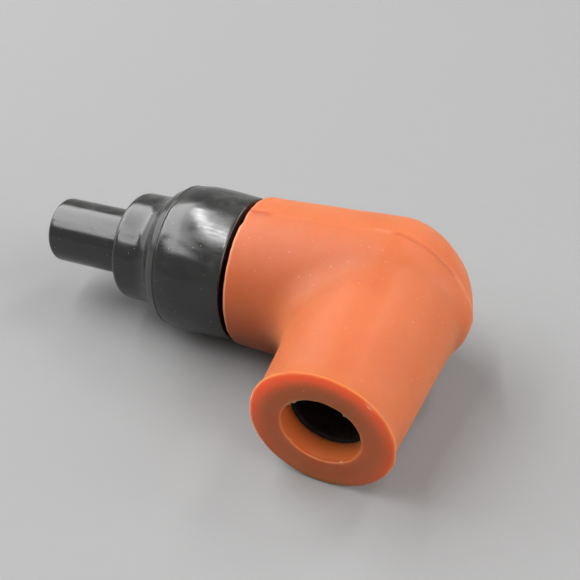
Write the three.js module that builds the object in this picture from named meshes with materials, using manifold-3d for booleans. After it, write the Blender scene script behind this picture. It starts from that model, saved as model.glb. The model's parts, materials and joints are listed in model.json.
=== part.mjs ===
// A right-angled spark plug cap: a silicone elbow over a phenolic core, with a rubber boot on its cable end.
// Millimetres, +Z up. In the cap's own group the plug arm runs along -Y from the middle of the elbow and the
// cable arm runs along -X. The whole group is then tipped a little, as the cap lies on a flat surface: on its
// heel, on the boot's cup and on the rim of the plug mouth.

import * as THREE from "three";
import * as BufferGeometryUtils from "three/addons/utils/BufferGeometryUtils.js";
import Module from "manifold-3d";

const wasm = await Module();
wasm.setup();

// Clearance between pieces that touch
const FIT_GAP = 0.3;

// Spark plug side of the core and the silicone around it
const LIP_BORE_RADIUS = 5.47;
const LIP_BORE_FLARE = 0.16;
const LIP_DEPTH = 3.82;
const SOCKET_STEP = 0.05;
const CORE_PLUG_WALL = 1.75;
const MOUTH_WALL = 1.73;
const MOUTH_FLARE = 0.54;
const MOUTH_FLARE_LENGTH = 2.3;
const MOUTH_EDGE = 0.4;
const PLUG_ARM_LENGTH = 27.29;
const PLUG_ARM_DRAFT = 2.11;
const SOCKET_CHAMFER = 0.4;

// Brass contact in the elbow and brass terminal that holds the plug
const CONTACT_RADIUS = 3.9;
const CONTACT_HALF_LENGTH = 3.5;
const STUD_RADIUS = 2.0;
const STUD_LENGTH = 4.6;
const TAPPED_HOLE_FLOOR = 1.0;
const TERMINAL_WALL = 0.6;
const TERMINAL_LENGTH = 9.0;
const TERMINAL_FLOOR = 1.5;
const TERMINAL_SEAT_DEPTH = 5.0;
const SCREWDRIVER_SLOT_WIDTH = 1.0;
const SCREWDRIVER_SLOT_DEPTH = 0.6;

// Wire clip that snaps into the groove of the plug's own terminal
const CLIP_WIRE_RADIUS = 0.35;
const CLIP_FROM_RIM = 2.2;
const CLIP_BITE = 0.5;
const CLIP_LEG = 3.6;
const CLIP_BOW_CLEARANCE = 0.4;

// Contact spring and resistor
const RESISTOR_RADIUS = 2.2;
const RESISTOR_CAP_WALL = 0.3;
const RESISTOR_CAP_FLOOR = 0.5;
const RESISTOR_CAP_LENGTH = 3.5;
const RESISTOR_LENGTH = 15.4;
const SPRING_WIRE_RADIUS = 0.4;
const SPRING_LENGTH = 4.8;
const SPRING_TURNS = 4;

// Screw that bites into the ignition cable
const NUB_LENGTH = 1.0;
const FLANGE_RADIUS = 3.5;
const FLANGE_THICKNESS = 1.7;
const SPIKE_LENGTH = 9.5;
const SPIKE_CORE_RADIUS = 1.2;
const SPIKE_CREST_RADIUS = 1.8;
const SPIKE_THREADS = 6;
const SPIKE_TIP_LENGTH = 2.0;

// Cable side of the core and the silicone around it
const CORE_CABLE_WALL = 4.9;
const COLLAR_STEP = 1.4;
const COLLAR_LENGTH = 8.5;
const SNOUT_WALL = 2.9;
const SNOUT_LENGTH = 9.3;
const CORE_EDGE = 0.5;
const SHOULDER_LEDGE = 2.2;
const CABLE_ARM_LENGTH = 21.64;
const CABLE_ARM_DRAFT = 0.86;
const SHOULDER_EDGE = 0.55;
const HEEL_WALL = 3.88;
const CROTCH_FILLET = 5.2;

// Power of the heel's curve: 2 is an ellipse, and less is leaner
const HEEL_FULLNESS = 1.83;

// Rubber cable boot
const BOOT_STANDOFF = 0.82;
const BOOT_CUP_WALL = 1.92;
const BOOT_RIM_NARROWING = 0.38;
const BOOT_RIM_EDGE = 0.5;
const BOOT_CUP_FLOOR = 2.9;
const BOOT_CUP_BREAK_DROP = 0.36;
const BOOT_FACE_RUN = 2.78;
const BOOT_FACE_DROP = 2.05;
const BOOT_WAIST_RUN = 1.5;
const BOOT_STEP_WALL = 1.74;
const BOOT_STEP_FLOOR = 2.5;
const BOOT_STEP_EDGE = 0.85;
const CABLE_BORE_RADIUS = 3.3;
const TUBE_WALL = 1.98;
const TUBE_LENGTH = 14.24;
const TUBE_EDGE = 0.6;
const TUBE_FILLET = 0.6;
const BORE_CHAMFER = 0.3;

// Where the cup's side swells and turns in, as shares of its length and of its drops
const CUP_SWELL_SHARE = 0.3;
const CUP_WIDEST_SHARE = 0.65;
const CUP_TURN_SHARE = 0.9;
const CUP_SWELL_DROP_SHARE = 0.25;
const CUP_TURN_DROP_SHARE = 0.35;
const FACE_ROUND_RUN_SHARE = 0.55;
const FACE_ROUND_DROP_SHARE = 0.38;
const WAIST_ROUND_RUN_SHARE = 0.45;
const WAIST_ROUND_DROP_SHARE = 0.7;

// Facets of the round pieces and steps along curves
const SKIN_FACETS = 48;
const BOOT_FACETS = 48;
const CORE_FACETS = 36;
const SMALL_FACETS = 24;
const WIRE_FACETS = 8;
const FAN_STEPS = 22;
const FLARE_STEPS = 3;
const EDGE_STEPS = 3;
const FILLET_STEPS = 2;
const CUP_STEPS = 9;
const BOW_STEPS = 8;
const CLIP_STEPS = 36;
const COIL_STEPS = 12;

// How far a cutting tool reaches past the face that it opens, and the skin's search for its surface
const CUT_PAST = 1;
const HALVINGS = 40;
const LEAST_BLEND = 1e-6;
const WELD_DISTANCE = 1e-4;

// Radii that follow, from the inside out
const innerLipRadius = LIP_BORE_RADIUS + LIP_BORE_FLARE;
const socketRadius = innerLipRadius + SOCKET_STEP;
const corePlugRadius = socketRadius + CORE_PLUG_WALL;
const plugTipRadius = corePlugRadius + FIT_GAP + MOUTH_WALL;
const mouthRadius = plugTipRadius + MOUTH_FLARE;
const plugRootRadius = plugTipRadius + PLUG_ARM_DRAFT;
const contactBoreRadius = CONTACT_RADIUS + FIT_GAP;
const terminalInnerRadius = CONTACT_RADIUS - TERMINAL_WALL;
const tappedHoleRadius = STUD_RADIUS + FIT_GAP;
const capInnerRadius = RESISTOR_RADIUS + FIT_GAP;
const capRadius = capInnerRadius + RESISTOR_CAP_WALL;
const resistorBoreRadius = capRadius + FIT_GAP;
const cableSeatRadius = FLANGE_RADIUS + FIT_GAP;
const coreCableRadius = resistorBoreRadius + CORE_CABLE_WALL;
const collarRadius = coreCableRadius + COLLAR_STEP;
const snoutRadius = cableSeatRadius + SNOUT_WALL;
const shoulderRadius = collarRadius + SHOULDER_LEDGE;
const elbowRadius = shoulderRadius + CABLE_ARM_DRAFT;
const heelReach = coreCableRadius + FIT_GAP + HEEL_WALL;
const bootBoreRadius = collarRadius + FIT_GAP;
const bootCupRadius = bootBoreRadius + BOOT_CUP_WALL;
const bootSnoutBoreRadius = snoutRadius + FIT_GAP;
const bootStepRadius = bootSnoutBoreRadius + BOOT_STEP_WALL;
const tubeRadius = CABLE_BORE_RADIUS + TUBE_WALL;

// Distances from the middle of the elbow along the plug arm
const lipInnerAt = PLUG_ARM_LENGTH - LIP_DEPTH;
const coreMouthAt = lipInnerAt - FIT_GAP;
const terminalAt = CONTACT_HALF_LENGTH;
const contactFrontAt = terminalAt - FIT_GAP;
const terminalRimAt = terminalAt + TERMINAL_LENGTH;
const socketFloorAt = terminalAt + TERMINAL_SEAT_DEPTH;
const clipAt = terminalRimAt - CLIP_FROM_RIM;
const tappedHoleFloorAt = TAPPED_HOLE_FLOOR - CONTACT_HALF_LENGTH;
const contactBoreEndAt = -CONTACT_HALF_LENGTH - FIT_GAP;

// Distances from the middle of the elbow along the cable arm
const springAt = CONTACT_RADIUS + FIT_GAP;
const resistorAt = springAt + SPRING_LENGTH + FIT_GAP;
const resistorEndAt = resistorAt + RESISTOR_LENGTH;
const nubAt = resistorEndAt + FIT_GAP;
const cableSeatAt = nubAt + NUB_LENGTH;
const flangeAt = cableSeatAt + FIT_GAP;
const flangeEndAt = flangeAt + FLANGE_THICKNESS;
const spikeEndAt = flangeEndAt + SPIKE_LENGTH;
const collarAt = CABLE_ARM_LENGTH + FIT_GAP;
const collarEndAt = collarAt + COLLAR_LENGTH;
const snoutEndAt = collarEndAt + SNOUT_LENGTH;
const bootMouthAt = CABLE_ARM_LENGTH + BOOT_STANDOFF;
const bootCupEndAt = collarEndAt + FIT_GAP;
const bootBreakAt = bootCupEndAt + BOOT_CUP_FLOOR;
const bootSnoutEndAt = snoutEndAt + FIT_GAP;
const bootStepEndAt = bootSnoutEndAt + BOOT_STEP_FLOOR;
const tubeEndAt = bootStepEndAt + TUBE_LENGTH;

// The skin's rings turn about this upright line in the crotch, outside the silicone
const fanPivot = elbowRadius + CROTCH_FILLET / 2;

// How the cap lies: the mouth's rim and the boot's cup come down to the level of the heel
const plugDrop = Math.asin(elbowRadius / Math.hypot(PLUG_ARM_LENGTH, mouthRadius))
  - Math.atan2(mouthRadius, PLUG_ARM_LENGTH);
const cableDrop = Math.atan2(elbowRadius - bootCupRadius, collarEndAt);

// Materials, from the colours of the real cap
function siliconeMaterial() {
  return new THREE.MeshStandardMaterial({ color: 0xe07a4c, roughness: 0.55, metalness: 0.0 });
}

function blackRubberMaterial() {
  return new THREE.MeshStandardMaterial({ color: 0x1c1d1b, roughness: 0.3, metalness: 0.0 });
}

function phenolicMaterial() {
  return new THREE.MeshStandardMaterial({ color: 0x15110f, roughness: 0.45, metalness: 0.0 });
}

function brassMaterial() {
  return new THREE.MeshStandardMaterial({ color: 0xb8964f, roughness: 0.35, metalness: 1.0 });
}

function springSteelMaterial() {
  return new THREE.MeshStandardMaterial({ color: 0x9b9c9a, roughness: 0.3, metalness: 1.0 });
}

function ceramicMaterial() {
  return new THREE.MeshStandardMaterial({ color: 0xe6dfcd, roughness: 0.5, metalness: 0.0 });
}

function platedSteelMaterial() {
  return new THREE.MeshStandardMaterial({ color: 0xb7b8b4, roughness: 0.28, metalness: 1.0 });
}

// Solids for cutting and joining

function weldedGeometry(geometry) {
  const bare = geometry.clone();
  bare.deleteAttribute("normal");
  bare.deleteAttribute("uv");
  return BufferGeometryUtils.mergeVertices(bare, WELD_DISTANCE);
}

function withoutSlivers(index) {
  const kept = [];
  for (let corner = 0; corner < index.length; corner += 3) {
    const [a, b, c] = index.slice(corner, corner + 3);
    if (a !== b && b !== c && c !== a) {
      kept.push(a, b, c);
    }
  }
  return kept;
}

function solidOf(geometry) {
  const welded = weldedGeometry(geometry);
  const vertProperties = new Float32Array(welded.attributes.position.array);
  const triVerts = new Uint32Array(withoutSlivers(Array.from(welded.index.array)));
  return new wasm.Manifold(new wasm.Mesh({ numProp: 3, vertProperties, triVerts }));
}

function geometryOf(solid) {
  const { vertProperties, triVerts } = solid.getMesh();
  const geometry = new THREE.BufferGeometry();
  geometry.setAttribute("position", new THREE.BufferAttribute(new Float32Array(vertProperties), 3));
  geometry.setIndex(new THREE.BufferAttribute(new Uint32Array(triVerts), 1));
  geometry.computeVertexNormals();
  return geometry;
}

// Round pieces: a profile is a list of [radius, distance from the middle of the elbow]

function revolved(profile, facets) {
  const points = profile.map(([radius, distance]) => new THREE.Vector2(radius, -distance));
  if (THREE.ShapeUtils.isClockWise(points)) {
    points.reverse();
  }
  const onAxis = points[0].x === 0 && points[points.length - 1].x === 0;
  if (!onAxis) {
    points.push(points[0].clone());
  }
  return new THREE.LatheGeometry(points, facets);
}

function alongPlugArm(profile, facets) {
  return revolved(profile, facets);
}

function alongCableArm(profile, facets) {
  return revolved(profile, facets).rotateZ(-Math.PI / 2);
}

function cornerArc(centreRadius, centreDistance, arcRadius, fromDegrees, toDegrees, steps) {
  const arc = [];
  for (let step = 0; step <= steps; step += 1) {
    const angle = THREE.MathUtils.degToRad(THREE.MathUtils.lerp(fromDegrees, toDegrees, step / steps));
    const radius = centreRadius + arcRadius * Math.cos(angle);
    const distance = centreDistance + arcRadius * Math.sin(angle);
    arc.push([radius, distance]);
  }
  return arc;
}

function wireAlong(curve, wireRadius, steps) {
  const section = new THREE.Shape();
  for (let corner = 0; corner < WIRE_FACETS; corner += 1) {
    const angle = 2 * Math.PI * corner / WIRE_FACETS;
    const x = wireRadius * Math.cos(angle);
    const y = wireRadius * Math.sin(angle);
    if (corner === 0) {
      section.moveTo(x, y);
    } else {
      section.lineTo(x, y);
    }
  }
  return new THREE.ExtrudeGeometry(section, { steps, bevelEnabled: false, extrudePath: curve });
}

// The silicone skin: two drafted arms and an egg-shaped heel, blended where they meet

function cableArmRadius(distance) {
  return elbowRadius - CABLE_ARM_DRAFT * distance / CABLE_ARM_LENGTH;
}

// The plug arm narrows to its tip and flares to a trumpet lip over its last stretch
function plugArmRadius(distance) {
  const intoFlare = (distance - PLUG_ARM_LENGTH + MOUTH_FLARE_LENGTH) / MOUTH_FLARE_LENGTH;
  const flare = MOUTH_FLARE * THREE.MathUtils.clamp(intoFlare, 0, 1) ** 2;
  return plugRootRadius - PLUG_ARM_DRAFT * distance / PLUG_ARM_LENGTH + flare;
}

// Distance outside the cable arm, and the way that its surface faces there
function cableArmLevel(point) {
  if (point.x <= 0) {
    const normal = new THREE.Vector3(0, point.y, point.z);
    return { level: normal.length() - cableArmRadius(-point.x), normal: normal.normalize() };
  }
  return heelLevel(point);
}

// The heel is a half egg
function heelLevel(point) {
  const along = point.x / heelReach;
  const normal = new THREE.Vector3(0, point.y, point.z);
  const across = normal.length() / elbowRadius;
  const size = (along ** HEEL_FULLNESS + across ** HEEL_FULLNESS) ** (1 / HEEL_FULLNESS);
  normal.normalize().multiplyScalar(across ** (HEEL_FULLNESS - 1) / elbowRadius);
  normal.x = along ** (HEEL_FULLNESS - 1) / heelReach;
  return { level: (size - 1) * elbowRadius, normal: normal.normalize() };
}

// The same for the plug arm, which ends in a ball inside the heel
function plugArmLevel(point) {
  const inArm = point.y <= 0;
  const normal = new THREE.Vector3(point.x, inArm ? 0 : point.y, point.z);
  const level = normal.length() - (inArm ? plugArmRadius(-point.y) : plugRootRadius);
  return { level, normal: normal.normalize() };
}

// A ball of the fillet's radius rolled between the arms gives about this blend
function skinLevel(point) {
  const cable = cableArmLevel(point);
  const plug = plugArmLevel(point);
  const cosineOfHalfTurn = Math.sqrt((1 + cable.normal.dot(plug.normal)) / 2);
  const blendWidth = 4 * CROTCH_FILLET * (1 - cosineOfHalfTurn);
  const nearer = Math.min(cable.level, plug.level);
  const closeness = 1 - Math.abs(cable.level - plug.level) / Math.max(blendWidth, LEAST_BLEND);
  if (closeness <= 0) {
    return nearer;
  }
  return nearer - blendWidth * closeness * closeness / 4;
}

function skinReach(origin, direction) {
  const point = new THREE.Vector3();
  let inside = 0;
  let outside = 2 * (elbowRadius + heelReach);
  for (let halving = 0; halving < HALVINGS; halving += 1) {
    const middle = (inside + outside) / 2;
    point.copy(origin).addScaledVector(direction, middle);
    if (skinLevel(point) < 0) {
      inside = middle;
    } else {
      outside = middle;
    }
  }
  return inside;
}

// Places and insets of a rounded edge, from the end face back to the side
function roundedEnd(endAt, edge) {
  const places = [];
  for (let step = EDGE_STEPS; step >= 0; step -= 1) {
    const angle = Math.PI / 2 * step / EDGE_STEPS;
    places.push({ distance: endAt - edge * (1 - Math.sin(angle)), inset: edge * (1 - Math.cos(angle)) });
  }
  return places;
}

// A ring lies in an upright plane: its centre, the way out from the crotch, and how far its edge is drawn in
function skinRings() {
  const rings = [];
  const awayFromCrotchOnPlugArm = new THREE.Vector3(1, 0, 0);
  const awayFromCrotchOnCableArm = new THREE.Vector3(0, 1, 0);
  const mouthPlaces = roundedEnd(PLUG_ARM_LENGTH, MOUTH_EDGE);
  for (let step = 1; step <= FLARE_STEPS; step += 1) {
    const back = THREE.MathUtils.lerp(MOUTH_EDGE, MOUTH_FLARE_LENGTH, step / FLARE_STEPS);
    mouthPlaces.push({ distance: PLUG_ARM_LENGTH - back, inset: 0 });
  }
  for (const { distance, inset } of mouthPlaces) {
    rings.push({ centre: new THREE.Vector3(0, -distance, 0), out: awayFromCrotchOnPlugArm, inset });
  }
  for (let step = 1; step < FAN_STEPS; step += 1) {
    const angle = Math.PI / 2 * step / FAN_STEPS;
    const out = new THREE.Vector3(Math.cos(angle), Math.sin(angle), 0);
    const centre = new THREE.Vector3(-fanPivot, -fanPivot, 0).addScaledVector(out, fanPivot);
    rings.push({ centre, out, inset: 0 });
  }
  for (const { distance, inset } of roundedEnd(CABLE_ARM_LENGTH, SHOULDER_EDGE).reverse()) {
    rings.push({ centre: new THREE.Vector3(-distance, 0, 0), out: awayFromCrotchOnCableArm, inset });
  }
  return rings;
}

function skinGeometry() {
  const up = new THREE.Vector3(0, 0, 1);
  const rings = skinRings();
  const positions = [];
  for (const { centre, out, inset } of rings) {
    for (let facet = 0; facet < SKIN_FACETS; facet += 1) {
      const angle = 2 * Math.PI * facet / SKIN_FACETS;
      const direction = out.clone().multiplyScalar(Math.cos(angle)).addScaledVector(up, Math.sin(angle));
      const point = centre.clone().addScaledVector(direction, skinReach(centre, direction) - inset);
      positions.push(point.x, point.y, point.z);
    }
  }
  const mouthCentre = positions.length / 3;
  positions.push(...rings[0].centre.toArray());
  const shoulderCentre = positions.length / 3;
  positions.push(...rings[rings.length - 1].centre.toArray());
  const triangles = [];
  for (let facet = 0; facet < SKIN_FACETS; facet += 1) {
    const next = (facet + 1) % SKIN_FACETS;
    const lastRow = (rings.length - 1) * SKIN_FACETS;
    triangles.push(mouthCentre, facet, next);
    triangles.push(shoulderCentre, lastRow + next, lastRow + facet);
    for (let row = 0; row < lastRow; row += SKIN_FACETS) {
      const above = row + SKIN_FACETS;
      triangles.push(row + facet, above + facet, row + next);
      triangles.push(row + next, above + facet, above + next);
    }
  }
  const geometry = new THREE.BufferGeometry();
  geometry.setAttribute("position", new THREE.Float32BufferAttribute(positions, 3));
  geometry.setIndex(triangles);
  return geometry;
}

// Silicone elbow with the lip at the plug mouth and the cavity that the core fills
function elbowHousing() {
  const lipBore = alongPlugArm([
    [0, PLUG_ARM_LENGTH + CUT_PAST],
    [LIP_BORE_RADIUS, PLUG_ARM_LENGTH + CUT_PAST],
    [LIP_BORE_RADIUS, PLUG_ARM_LENGTH],
    [innerLipRadius, lipInnerAt],
    [innerLipRadius, lipInnerAt - CUT_PAST],
    [0, lipInnerAt - CUT_PAST],
  ], CORE_FACETS);
  const plugCavity = alongPlugArm([
    [0, lipInnerAt],
    [corePlugRadius + FIT_GAP, lipInnerAt],
    [corePlugRadius + FIT_GAP, 0],
    [0, 0],
  ], CORE_FACETS);
  const cableCavity = alongCableArm([
    [0, CABLE_ARM_LENGTH + CUT_PAST],
    [coreCableRadius + FIT_GAP, CABLE_ARM_LENGTH + CUT_PAST],
    ...roundedHeel(coreCableRadius + FIT_GAP),
  ], CORE_FACETS);
  const housing = solidOf(skinGeometry())
    .subtract(solidOf(lipBore))
    .subtract(solidOf(plugCavity))
    .subtract(solidOf(cableCavity));
  return new THREE.Mesh(geometryOf(housing), siliconeMaterial());
}

function roundedHeel(radius) {
  const steps = CORE_FACETS / 4;
  const arc = cornerArc(0, 0, radius, 0, -90, steps);
  arc[steps] = [0, -radius];
  return arc;
}

// Phenolic core: an L-shaped moulding with a socket for the plug and a bore for the resistor and the cable
function insulatorCore() {
  const plugLeg = alongPlugArm([
    [0, coreMouthAt],
    [corePlugRadius - CORE_EDGE, coreMouthAt],
    [corePlugRadius, coreMouthAt - CORE_EDGE],
    [corePlugRadius, 0],
    [0, 0],
  ], CORE_FACETS);
  const cableLeg = alongCableArm([
    [0, snoutEndAt],
    [snoutRadius - CORE_EDGE, snoutEndAt],
    [snoutRadius, snoutEndAt - CORE_EDGE],
    [snoutRadius, collarEndAt],
    [collarRadius - CORE_EDGE, collarEndAt],
    [collarRadius, collarEndAt - CORE_EDGE],
    [collarRadius, collarAt],
    [coreCableRadius, collarAt],
    ...roundedHeel(coreCableRadius),
  ], CORE_FACETS);
  const plugBore = alongPlugArm([
    [0, coreMouthAt + CUT_PAST],
    [socketRadius + SOCKET_CHAMFER, coreMouthAt + CUT_PAST],
    [socketRadius + SOCKET_CHAMFER, coreMouthAt],
    [socketRadius, coreMouthAt - SOCKET_CHAMFER],
    [socketRadius, socketFloorAt],
    [contactBoreRadius, socketFloorAt],
    [contactBoreRadius, contactBoreEndAt],
    [0, contactBoreEndAt],
  ], CORE_FACETS);
  const cableBore = alongCableArm([
    [0, snoutEndAt + CUT_PAST],
    [cableSeatRadius, snoutEndAt + CUT_PAST],
    [cableSeatRadius, cableSeatAt],
    [resistorBoreRadius, cableSeatAt],
    [resistorBoreRadius, 0],
    [0, 0],
  ], SMALL_FACETS);
  const core = solidOf(plugLeg)
    .add(solidOf(cableLeg))
    .subtract(solidOf(plugBore))
    .subtract(solidOf(cableBore));
  return new THREE.Mesh(geometryOf(core), phenolicMaterial());
}

// Brass barrel in the elbow, tapped for the terminal's stud
function elbowContact() {
  const geometry = alongPlugArm([
    [0, -CONTACT_HALF_LENGTH],
    [CONTACT_RADIUS, -CONTACT_HALF_LENGTH],
    [CONTACT_RADIUS, contactFrontAt],
    [tappedHoleRadius, contactFrontAt],
    [tappedHoleRadius, tappedHoleFloorAt],
    [0, tappedHoleFloorAt],
  ], SMALL_FACETS);
  return new THREE.Mesh(geometry, brassMaterial());
}

// Brass socket for the plug's terminal, with a stud behind and a window on each side for the clip's legs
function plugTerminal() {
  const body = solidOf(alongPlugArm([
    [0, terminalAt - STUD_LENGTH],
    [STUD_RADIUS, terminalAt - STUD_LENGTH],
    [STUD_RADIUS, terminalAt],
    [CONTACT_RADIUS, terminalAt],
    [CONTACT_RADIUS, terminalRimAt],
    [terminalInnerRadius, terminalRimAt],
    [terminalInnerRadius, terminalAt + TERMINAL_FLOOR],
    [0, terminalAt + TERMINAL_FLOOR],
  ], SMALL_FACETS));
  const slot = new THREE.BoxGeometry(2 * CONTACT_RADIUS, 2 * SCREWDRIVER_SLOT_DEPTH, SCREWDRIVER_SLOT_WIDTH);
  slot.scale(terminalInnerRadius / CONTACT_RADIUS, 1, 1);
  slot.translate(0, -(terminalAt + TERMINAL_FLOOR), 0);
  let terminal = body.subtract(solidOf(slot));
  for (const side of [-1, 1]) {
    const innerFace = terminalInnerRadius - CLIP_BITE - CLIP_WIRE_RADIUS - FIT_GAP;
    const outerFace = CONTACT_RADIUS + FIT_GAP;
    const height = 2 * (CLIP_WIRE_RADIUS + FIT_GAP);
    const window = new THREE.BoxGeometry(outerFace - innerFace, height, 2 * outerFace);
    window.translate(side * (innerFace + outerFace) / 2, -clipAt, 0);
    terminal = terminal.subtract(solidOf(window));
  }
  return new THREE.Mesh(geometryOf(terminal), brassMaterial());
}

// Hairpin of spring wire: two legs through the windows and a bow around the outside of the socket
function terminalClip() {
  const legX = terminalInnerRadius - CLIP_BITE;
  const bowTop = CONTACT_RADIUS + CLIP_BOW_CLEARANCE + CLIP_WIRE_RADIUS;
  const bowFoot = Math.sqrt(bowTop * bowTop - legX * legX) - CLIP_WIRE_RADIUS;
  const points = [
    new THREE.Vector3(legX, -clipAt, -CLIP_LEG),
    new THREE.Vector3(legX, -clipAt, 0),
  ];
  for (let step = 0; step <= BOW_STEPS; step += 1) {
    const angle = Math.PI * step / BOW_STEPS;
    const x = legX * Math.cos(angle);
    const z = bowFoot + (bowTop - bowFoot) * Math.sin(angle);
    points.push(new THREE.Vector3(x, -clipAt, z));
  }
  points.push(new THREE.Vector3(-legX, -clipAt, 0));
  points.push(new THREE.Vector3(-legX, -clipAt, -CLIP_LEG));
  const curve = new THREE.CatmullRomCurve3(points, false, "centripetal");
  return new THREE.Mesh(wireAlong(curve, CLIP_WIRE_RADIUS, CLIP_STEPS), springSteelMaterial());
}

// Coil spring between the brass barrel and the resistor
class Helix extends THREE.Curve {
  constructor(radius, startAt, endAt, turns) {
    super();
    this.radius = radius;
    this.startAt = startAt;
    this.endAt = endAt;
    this.turns = turns;
  }

  getPoint(share, target = new THREE.Vector3()) {
    const angle = 2 * Math.PI * this.turns * share;
    const distance = THREE.MathUtils.lerp(this.startAt, this.endAt, share);
    return target.set(-distance, this.radius * Math.cos(angle), this.radius * Math.sin(angle));
  }
}

function contactSpring() {
  const coilRadius = capRadius - SPRING_WIRE_RADIUS;
  const firstWireAt = springAt + SPRING_WIRE_RADIUS;
  const lastWireAt = springAt + SPRING_LENGTH - SPRING_WIRE_RADIUS;
  const curve = new Helix(coilRadius, firstWireAt, lastWireAt, SPRING_TURNS);
  const geometry = wireAlong(curve, SPRING_WIRE_RADIUS, COIL_STEPS * SPRING_TURNS);
  return new THREE.Mesh(geometry, springSteelMaterial());
}

// Ceramic resistor rod with a pressed metal cap on each end
function resistorRod() {
  const startAt = resistorAt + RESISTOR_CAP_FLOOR + FIT_GAP;
  const endAt = resistorEndAt - RESISTOR_CAP_FLOOR - FIT_GAP;
  const geometry = alongCableArm([
    [0, startAt],
    [RESISTOR_RADIUS, startAt],
    [RESISTOR_RADIUS, endAt],
    [0, endAt],
  ], SMALL_FACETS);
  return new THREE.Mesh(geometry, ceramicMaterial());
}

function resistorEndCap(outerFaceAt, inward) {
  const floorAt = outerFaceAt + inward * RESISTOR_CAP_FLOOR;
  const rimAt = outerFaceAt + inward * RESISTOR_CAP_LENGTH;
  const geometry = alongCableArm([
    [0, outerFaceAt],
    [capRadius, outerFaceAt],
    [capRadius, rimAt],
    [capInnerRadius, rimAt],
    [capInnerRadius, floorAt],
    [0, floorAt],
  ], SMALL_FACETS);
  return new THREE.Mesh(geometry, platedSteelMaterial());
}

// Steel screw: a nub against the resistor, a flange on the core's step and a ridged spike for the cable
function cableScrew() {
  const profile = [
    [0, nubAt],
    [RESISTOR_RADIUS, nubAt],
    [RESISTOR_RADIUS, flangeAt],
    [FLANGE_RADIUS, flangeAt],
    [FLANGE_RADIUS, flangeEndAt],
    [SPIKE_CORE_RADIUS, flangeEndAt],
  ];
  const threadRun = (SPIKE_LENGTH - SPIKE_TIP_LENGTH) / (SPIKE_THREADS + 1);
  for (let ridge = 1; ridge <= SPIKE_THREADS; ridge += 1) {
    const crestAt = flangeEndAt + ridge * threadRun;
    profile.push([SPIKE_CORE_RADIUS, crestAt - threadRun / 3]);
    profile.push([SPIKE_CREST_RADIUS, crestAt]);
    profile.push([SPIKE_CORE_RADIUS, crestAt + threadRun / 3]);
  }
  profile.push([SPIKE_CORE_RADIUS, spikeEndAt - SPIKE_TIP_LENGTH]);
  profile.push([0, spikeEndAt]);
  return new THREE.Mesh(alongCableArm(profile, SMALL_FACETS), platedSteelMaterial());
}

// Rubber boot: a cup over the core's collar, a step over its snout and a tube around the cable
function cupOutline() {
  const rimRadius = bootCupRadius - BOOT_RIM_NARROWING;
  const rimAt = bootMouthAt + BOOT_RIM_EDGE;
  const breakRadius = bootCupRadius - BOOT_CUP_BREAK_DROP;
  const cupRun = bootBreakAt - rimAt;
  const swellRadius = bootCupRadius - BOOT_RIM_NARROWING * CUP_SWELL_DROP_SHARE;
  const turnRadius = bootCupRadius - BOOT_CUP_BREAK_DROP * CUP_TURN_DROP_SHARE;
  const curve = new THREE.SplineCurve([
    new THREE.Vector2(rimRadius, rimAt),
    new THREE.Vector2(swellRadius, rimAt + cupRun * CUP_SWELL_SHARE),
    new THREE.Vector2(bootCupRadius, rimAt + cupRun * CUP_WIDEST_SHARE),
    new THREE.Vector2(turnRadius, rimAt + cupRun * CUP_TURN_SHARE),
    new THREE.Vector2(breakRadius, bootBreakAt),
  ]);
  return curve.getPoints(CUP_STEPS).map((point) => [point.x, point.y]);
}

// Sloping face and waist between the cup and the step
function waistOutline() {
  const breakRadius = bootCupRadius - BOOT_CUP_BREAK_DROP;
  const waistAt = bootBreakAt + BOOT_FACE_RUN;
  const waistRadius = breakRadius - BOOT_FACE_DROP;
  const faceRoundAt = bootBreakAt + BOOT_FACE_RUN * FACE_ROUND_RUN_SHARE;
  const waistRoundAt = waistAt + BOOT_WAIST_RUN * WAIST_ROUND_RUN_SHARE;
  const waistDrop = waistRadius - bootStepRadius;
  return [
    [breakRadius - BOOT_FACE_DROP * FACE_ROUND_DROP_SHARE, faceRoundAt],
    [waistRadius, waistAt],
    [waistRadius - waistDrop * WAIST_ROUND_DROP_SHARE, waistRoundAt],
    [bootStepRadius, waistAt + BOOT_WAIST_RUN],
  ];
}

function cableBoot() {
  const rimCentreRadius = bootCupRadius - BOOT_RIM_NARROWING - BOOT_RIM_EDGE;
  const stepEdgeAt = bootStepEndAt - BOOT_STEP_EDGE;
  const geometry = alongCableArm([
    [bootBoreRadius + BORE_CHAMFER, bootMouthAt],
    ...cornerArc(rimCentreRadius, bootMouthAt + BOOT_RIM_EDGE, BOOT_RIM_EDGE, -90, -30, FILLET_STEPS),
    ...cupOutline(),
    ...waistOutline(),
    ...cornerArc(bootStepRadius - BOOT_STEP_EDGE, stepEdgeAt, BOOT_STEP_EDGE, 0, 90, EDGE_STEPS),
    ...cornerArc(tubeRadius + TUBE_FILLET, bootStepEndAt + TUBE_FILLET, TUBE_FILLET, 270, 180, FILLET_STEPS),
    ...cornerArc(tubeRadius - TUBE_EDGE, tubeEndAt - TUBE_EDGE, TUBE_EDGE, 0, 90, EDGE_STEPS),
    [CABLE_BORE_RADIUS + BORE_CHAMFER, tubeEndAt],
    [CABLE_BORE_RADIUS, tubeEndAt - BORE_CHAMFER],
    [CABLE_BORE_RADIUS, bootSnoutEndAt],
    [bootSnoutBoreRadius, bootSnoutEndAt],
    [bootSnoutBoreRadius, bootCupEndAt],
    [bootBoreRadius, bootCupEndAt],
    [bootBoreRadius, bootMouthAt + BORE_CHAMFER],
  ], BOOT_FACETS);
  return new THREE.Mesh(geometry, blackRubberMaterial());
}

function named(name, mesh) {
  mesh.name = name;
  return mesh;
}

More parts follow.
